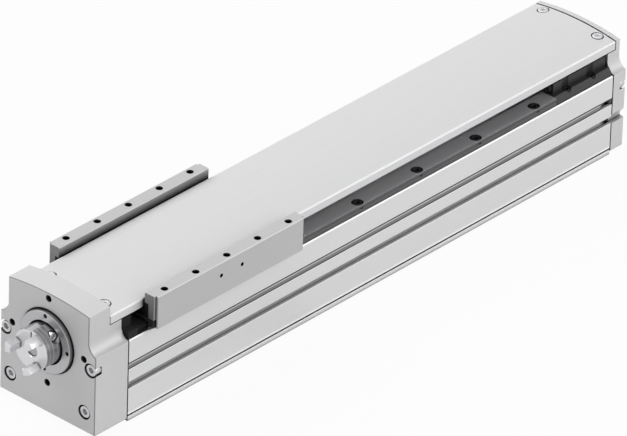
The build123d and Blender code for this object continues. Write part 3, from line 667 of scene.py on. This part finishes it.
def socket_screw(head_radius, head_height, shank_radius, length, key_width, key_depth):
    """A socket screw with its seat at the origin and its head up, sizes in metres."""
    bpy.ops.object.select_all(action="DESELECT")
    bpy.ops.mesh.primitive_cylinder_add(
        vertices=SCREW_SIDES, radius=head_radius, depth=head_height,
        location=(0, 0, head_height / 2),
    )
    screw = bpy.context.object
    bpy.ops.object.transform_apply(location=True)
    pick_underside(screw.data)
    bpy.ops.object.mode_set(mode="EDIT")
    bpy.ops.mesh.select_mode(type="FACE")
    bpy.ops.mesh.inset(thickness=head_radius - shank_radius)
    bpy.ops.mesh.extrude_region_move(TRANSFORM_OT_translate={"value": (0, 0, -length)})
    bpy.ops.object.mode_set(mode="OBJECT")
    bpy.ops.object.select_all(action="DESELECT")
    bpy.ops.mesh.primitive_cylinder_add(
        vertices=6, radius=key_width / 3 ** 0.5, depth=2 * key_depth, location=(0, 0, head_height)
    )
    prism = bpy.context.object
    apply_modifier(
        screw, "BOOLEAN",
        {"operation": "DIFFERENCE", "object": prism, "solver": "EXACT"},
    )
    bpy.data.objects.remove(prism)
    round_edges(screw, SCREW_ROUNDING)
    only(screw)
    bpy.ops.object.shade_smooth_by_angle(angle=SMOOTH_ANGLE)
    return screw


def copies_at(pattern, matrices, name, material):
    """One object made of copies of pattern, each with its own mesh, at the given places."""
    copies = []
    for matrix in matrices:
        copy = bpy.data.objects.new(name, pattern.data.copy())
        copy.data.transform(matrix)
        bpy.context.scene.collection.objects.link(copy)
        copies.append(copy)
    bpy.data.objects.remove(pattern)
    only(copies[0])
    for copy in copies:
        copy.select_set(True)
    if len(copies) > 1:
        bpy.ops.object.join()
    group = bpy.context.view_layer.objects.active
    group.name = name
    group.data.materials.clear()
    group.data.materials.append(material)
    return group


def seat_point(box, facing, head_height):
    """Where a screw's head meets its seat, from the box of its plain solid."""
    axis = "XYZ".index(facing[1])
    middle = (box[0] + box[1]) / 2
    if facing[0] == "+":
        middle[axis] = box[1][axis] - head_height
    else:
        middle[axis] = box[0][axis] + head_height
    return middle


def screws_for(node, facing, head_mm, key_mm, material):
    """Replaces a node's plain screws with modelled ones.

    facing is the way the heads face. head_mm is the head's radius and height with the shank's
    radius, and key_mm is the recess's width across flats and depth.
    """
    boxes = solid_boxes(node)
    axis = "XYZ".index(facing[1])
    total = boxes[0][1][axis] - boxes[0][0][axis]
    head_radius, head_height, shank_radius = [size * MM for size in head_mm]
    key_width, key_depth = [size * MM for size in key_mm]
    pattern = socket_screw(
        head_radius, head_height, shank_radius, total - head_height, key_width, key_depth
    )
    places = [
        Matrix.Translation(seat_point(box, facing, head_height)) @ UP_TO[facing] for box in boxes
    ]
    piece = copies_at(pattern, places, node + "_socket", material)
    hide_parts(node)
    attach(piece, body_of[node])
    print(node, ":", len(boxes), "socket screws")


# %% [markdown]
# The screws of an axis come in a few sizes. Each HEAD is a head's radius and height with its
# shank's radius, and each KEY is the recess's width and depth, in millimetres.

# %% Socket screws
M8_HEAD = (6.1, 8.0, 4.0)
M8_KEY = (6.0, 4.5)
M6_HEAD = (5.0, 5.6, 3.0)
M6_KEY = (5.0, 3.0)
M6_LOW_HEAD = (5.4, 2.4, 3.0)
M6_LOW_KEY = (4.0, 1.7)
M5_HEAD = (4.2, 4.6, 2.5)
M5_CLAMP_HEAD = (4.3, 5.0, 2.5)
M5_KEY = (4.0, 2.8)

screws_for("drive_cap_screws", "-X", M8_HEAD, M8_KEY, zinc_screw)
screws_for("end_cap_screws", "+X", M8_HEAD, M8_KEY, zinc_screw)
screws_for("cover_screws", "+Z", M6_LOW_HEAD, M6_LOW_KEY, zinc_screw)
for side in ("left", "right"):
    screws_for(side + "_rail_screws", "+Z", M6_HEAD, M6_KEY, black_oxide)
    screws_for(side + "_rail_stop_screws", "+Z", M5_HEAD, M5_KEY, black_oxide)
screws_for("clamp_screw", "-Y", M5_CLAMP_HEAD, M5_KEY, zinc_screw)

# %% [markdown]
# A ball screw's groove is a rounded channel that winds round the bar, ten millimetres to a turn.
# One turn's outline is drawn along the bar, and the Screw modifier winds it round and repeats it.
# The plain ends are turned bars, and a shoulder at each end of the thread covers its open rim.

# %% Ball screw
LEAD = 10.0 * MM
SCREW_RADIUS = 10.0 * MM
GROOVE_HALF_WIDTH = 2.6 * MM
GROOVE_DEPTH = 1.5 * MM
TURN_STEPS = 40
LAND_STEPS = 5
GROOVE_STEPS = 10
THREAD_WELD = 0.00002
THREAD_SMOOTH_ANGLE = radians(40)
JOURNAL_INSET = 37.0 * MM
THREAD_INSET = 2 * MM
HUB_CLEARANCE = 1 * MM
SHOULDER_OVERLAP = 0.9 * MM
SHOULDER_LENGTH = 6 * MM
FAR_SHOULDER_REACH = 2.4 * MM
DRIVE_END_RADIUS = 7.0 * MM
DRIVE_JOURNAL_RADIUS = 7.5 * MM
FAR_JOURNAL_RADIUS = 6.0 * MM
BAR_SIDES = 48
BAR_ROUNDING = 0.4 * MM
journal_end = face_x + JOURNAL_INSET
thread_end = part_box("base_profile")[1].x - THREAD_INSET
turns = int((thread_end - journal_end) / LEAD)


def bar(name, start, end, radius):
    """A round bar along X on the screw's axis, with its ends bevelled."""
    bpy.ops.object.select_all(action="DESELECT")
    bpy.ops.mesh.primitive_cylinder_add(
        vertices=BAR_SIDES, radius=radius, depth=end - start,
        location=((start + end) / 2, 0, screw_z), rotation=(0, pi / 2, 0),
    )
    made = bpy.context.object
    made.name = name
    bpy.ops.object.transform_apply(location=True, rotation=True)
    round_edges(made, BAR_ROUNDING)
    return made


# One turn: a flat land, the groove and a second land, as (place along the bar, radius).
outline = []
for step in range(LAND_STEPS + 1):
    outline.append((step / LAND_STEPS * (LEAD / 2 - GROOVE_HALF_WIDTH), SCREW_RADIUS))
for step in range(1, GROOVE_STEPS):
    angle = pi * step / GROOVE_STEPS
    along = LEAD / 2 - GROOVE_HALF_WIDTH * cos(angle)
    outline.append((along, SCREW_RADIUS - GROOVE_DEPTH * sin(angle)))
for step in range(LAND_STEPS + 1):
    rest = LEAD / 2 + GROOVE_HALF_WIDTH
    outline.append((rest + step / LAND_STEPS * (LEAD - rest), SCREW_RADIUS))
thread_mesh = bpy.data.meshes.new("ball_groove")
thread_mesh.from_pydata(
    [(x, 0, r) for x, r in outline], [(i, i + 1) for i in range(len(outline) - 1)], []
)
thread = bpy.data.objects.new("ball_groove", thread_mesh)
bpy.context.scene.collection.objects.link(thread)
apply_modifier(
    thread, "SCREW",
    {
        "axis": "X",
        "angle": 2 * pi,
        "screw_offset": LEAD,
        "iterations": turns - 1,
        "steps": TURN_STEPS,
        "render_steps": TURN_STEPS,
        "use_merge_vertices": False,
        "use_smooth_shade": True,
    },
)
thread.data.transform(Matrix.Translation((journal_end, 0, screw_z)))
weld(thread, THREAD_WELD)
bpy.ops.mesh.normals_make_consistent(inside=False)
bpy.ops.object.mode_set(mode="OBJECT")

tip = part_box("ball_screw")[0].x
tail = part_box("ball_screw")[1].x
hub_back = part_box("coupling_hub")[1].x + HUB_CLEARANCE
near_rim = journal_end - SHOULDER_OVERLAP
far_rim = thread_end + FAR_SHOULDER_REACH
ends = [
    bar("drive_end", tip, hub_back, DRIVE_END_RADIUS),
    bar("drive_journal", hub_back, journal_end, DRIVE_JOURNAL_RADIUS),
    bar("drive_shoulder", near_rim, journal_end + SHOULDER_LENGTH, SCREW_RADIUS),
    bar("far_shoulder", journal_end + (turns - 1) * LEAD, far_rim, SCREW_RADIUS),
    bar("far_journal", far_rim, tail, FAR_JOURNAL_RADIUS),
]
only(thread)
for end in ends:
    end.select_set(True)
bpy.ops.object.join()
thread.name = "ball_screw_wound"
thread.data.materials.clear()
thread.data.materials.append(ground_steel)
bpy.ops.object.shade_smooth_by_angle(angle=THREAD_SMOOTH_ANGLE)
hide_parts("ball_screw")
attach(thread, "spindle")
print("ball screw:", turns, "turns of", LEAD / MM, "mm,", len(thread.data.polygons), "faces")

# %% [markdown]
# The photograph stands on nothing but white, so the floor is white where the camera or a shiny
# surface sees it, with a little plain diffuse floor mixed in to keep a soft shadow. The light path
# node tells which rays see the floor and which only carry light from it.

# %% Floor
FLOOR_HALF = 12.0
FLOOR_DROP = 0.0005
FLOOR_WHITE_SHARE = 0.95


def seeing_rays(tree):
    """1 for rays by which something is seen: camera, glossy and transmission rays."""
    rays = add_node(tree, "ShaderNodeLightPath")
    seen = rays.outputs["Is Camera Ray"]
    for kind in ("Is Glossy Ray", "Is Transmission Ray"):
        either = add_node(
            tree, "ShaderNodeMath", {"operation": "MAXIMUM"}, {0: seen, 1: rays.outputs[kind]}
        )
        seen = either.outputs["Value"]
    return seen


def mixed(tree, output, share, first, second):
    """Shows second for its share, which is an output between 0 and 1, and first for the rest."""
    mix = add_node(tree, "ShaderNodeMixShader", {}, {0: share, 1: first, 2: second})
    tree.links.new(mix.outputs["Shader"], output.inputs["Surface"])


bpy.ops.object.select_all(action="DESELECT")
bpy.ops.mesh.primitive_plane_add(size=2 * FLOOR_HALF, location=(0, 0, -FLOOR_DROP))
floor = bpy.context.object
floor.name = "floor"
floor_material, floor_tree, floor_output = new_material("pale_floor")
floor_paint = add_node(floor_tree, "ShaderNodeBsdfDiffuse", {"Color": linear("F4F4F4")})
floor_glow = add_node(
    floor_tree, "ShaderNodeEmission", {"Color": linear("FFFFFF"), "Strength": 1.0}
)
floor_share = add_node(
    floor_tree, "ShaderNodeMath", {"operation": "MULTIPLY", 1: FLOOR_WHITE_SHARE},
    {0: seeing_rays(floor_tree)},
)
mixed(
    floor_tree, floor_output, floor_share.outputs["Value"],
    floor_paint.outputs["BSDF"], floor_glow.outputs["Emission"],
)
floor.data.materials.append(floor_material)

# %% [markdown]
# The world gives an even fill from all round, and it is plain white where the camera or a shiny
# surface looks at it. One broad lamp lights the long side and one from behind lights the tops, so
# both are brighter than the drive face. A third stands where the broken edges mirror it to the
# camera.

# %% World and lamps
WORLD_FILL = 0.19
# Each lamp's name, the direction it stands in, its strength and its spread in degrees.
LAMPS = (
    ("key_lamp", (0.1, -0.95, 0.24), 0.88, 60),
    ("back_lamp", (-0.04, 0.66, 0.74), 1.6, 60),
    ("edge_lamp", (0.64, -0.52, 0.56), 0.5, 30),
)

world = bpy.data.worlds.new("studio")
bpy.context.scene.world = world
world.use_nodes = True
world_tree = world.node_tree
world_tree.nodes.clear()
world_output = add_node(world_tree, "ShaderNodeOutputWorld")
world_fill, world_white = [
    add_node(world_tree, "ShaderNodeBackground", {"Color": linear("FFFFFF"), "Strength": strength})
    for strength in (WORLD_FILL, 1.0)
]
mixed(
    world_tree, world_output, seeing_rays(world_tree),
    world_fill.outputs["Background"], world_white.outputs["Background"],
)

for name, towards, strength, spread in LAMPS:
    lamp = bpy.data.lights.new(name, "SUN")
    lamp.energy = strength
    lamp.angle = radians(spread)
    holder = bpy.data.objects.new(name, lamp)
    bpy.context.scene.collection.objects.link(holder)
    holder.rotation_euler = Vector(towards).to_track_quat("Z", "Y").to_euler()
print("world fill", WORLD_FILL, "with", len(LAMPS), "broad lamps")
